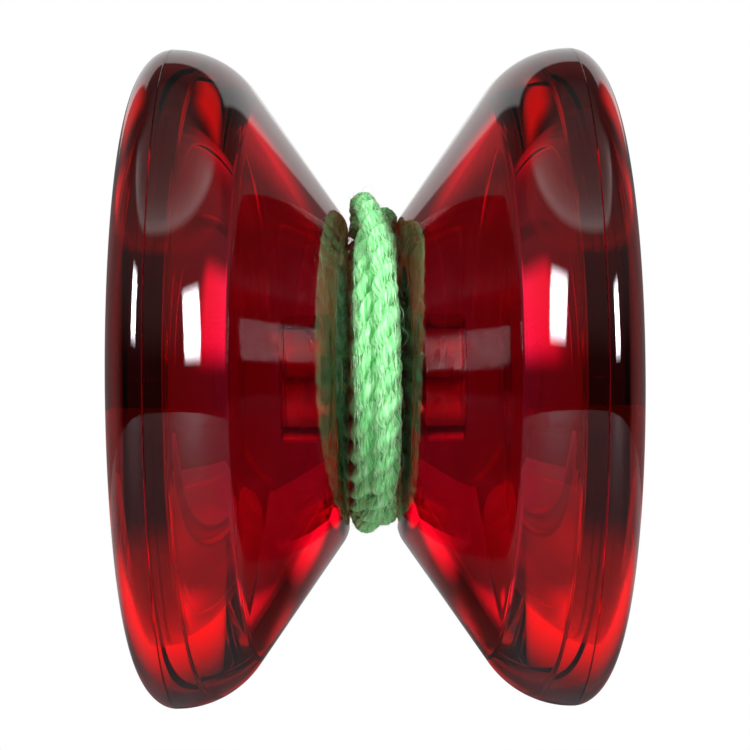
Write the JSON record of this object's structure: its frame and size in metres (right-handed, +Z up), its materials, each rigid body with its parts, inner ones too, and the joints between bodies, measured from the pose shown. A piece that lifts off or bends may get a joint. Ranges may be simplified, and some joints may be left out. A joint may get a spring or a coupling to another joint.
{
  "type": "yo-yo",
  "caption": "Take-apart ball bearing yo-yo with two transparent red flared halves, a wide V string gap and twisted green string wound on the bearing.",
  "frame": {"origin": "middle of the string gap on the axle's centre line", "axes": "+X along the axle towards the half that unscrews, +Z up as the yo-yo stands on its two rims, +Y towards the side where the finger loop lies"},
  "size_m": [0.0402, 0.057, 0.057],
  "materials": {
    "red_polycarbonate": "polished transparent deep red polycarbonate",
    "red_cap": "polished transparent red polycarbonate",
    "zinc_steel": "bright zinc plated",
    "anodised_aluminium": "turned, satin",
    "silicone": "matte silicone",
    "bearing_steel": "ground",
    "ball_steel": "polished",
    "axle_steel": "black oxide, satin",
    "green_string": "twisted spun polyester"
  },
  "bodies": {
    "left_side": {"left_half": "red_polycarbonate", "left_hub_nut": "zinc_steel", "left_bearing_spacer": "anodised_aluminium", "left_response_pad": "silicone", "axle": "axle_steel", "bearing_inner_race": "bearing_steel"},
    "left_cap": {"left_side_cap": "red_cap"},
    "string_and_outer_race": {"bearing_outer_race": "bearing_steel", "left_bearing_shield": "bearing_steel", "right_bearing_shield": "bearing_steel", "left_shield_clip": "bearing_steel", "right_shield_clip": "bearing_steel", "string_winding": "green_string", "string_knot": "green_string", "finger_loop": "green_string"},
    "cage_and_balls": {"bearing_cage": "bearing_steel", "bearing_ball_1": "ball_steel", "bearing_ball_2": "ball_steel", "bearing_ball_3": "ball_steel", "bearing_ball_4": "ball_steel", "bearing_ball_5": "ball_steel", "bearing_ball_6": "ball_steel", "bearing_ball_7": "ball_steel", "bearing_ball_8": "ball_steel"},
    "right_response_ring": {"right_response_pad": "silicone"},
    "right_side": {"right_half": "red_polycarbonate", "right_hub_nut": "zinc_steel", "right_bearing_spacer": "anodised_aluminium"},
    "right_cap": {"right_side_cap": "red_cap"}
  },
  "joints": [
    {"name": "string_spin", "type": "hinge", "parent": "left_side", "child": "string_and_outer_race", "pos_m": [0, 0, 0], "axis": [1, 0, 0], "continuous": true},
    {"name": "cage_spin", "type": "hinge", "parent": "left_side", "child": "cage_and_balls", "pos_m": [0, 0, 0], "axis": [1, 0, 0], "continuous": true},
    {"name": "right_half_travel", "type": "slide", "parent": "left_side", "child": "right_response_ring", "axis": [1, 0, 0], "range_m": [0, 0.0036]},
    {"name": "right_half_unscrew", "type": "hinge", "parent": "right_response_ring", "child": "right_side", "pos_m": [0, 0, 0], "axis": [1, 0, 0], "range_deg": [0, 1800]},
    {"name": "left_cap_pull", "type": "slide", "parent": "left_side", "child": "left_cap", "axis": [-1, 0, 0], "range_m": [0, 0.012]},
    {"name": "right_cap_pull", "type": "slide", "parent": "right_side", "child": "right_cap", "axis": [1, 0, 0], "range_m": [0, 0.012]}
  ],
  "couplings": [
    {"joint": "cage_spin", "follows": "string_spin", "ratio": 0.58333},
    {"joint": "right_half_travel", "follows": "right_half_unscrew", "m_per_rad": 0.00011141}
  ]
}
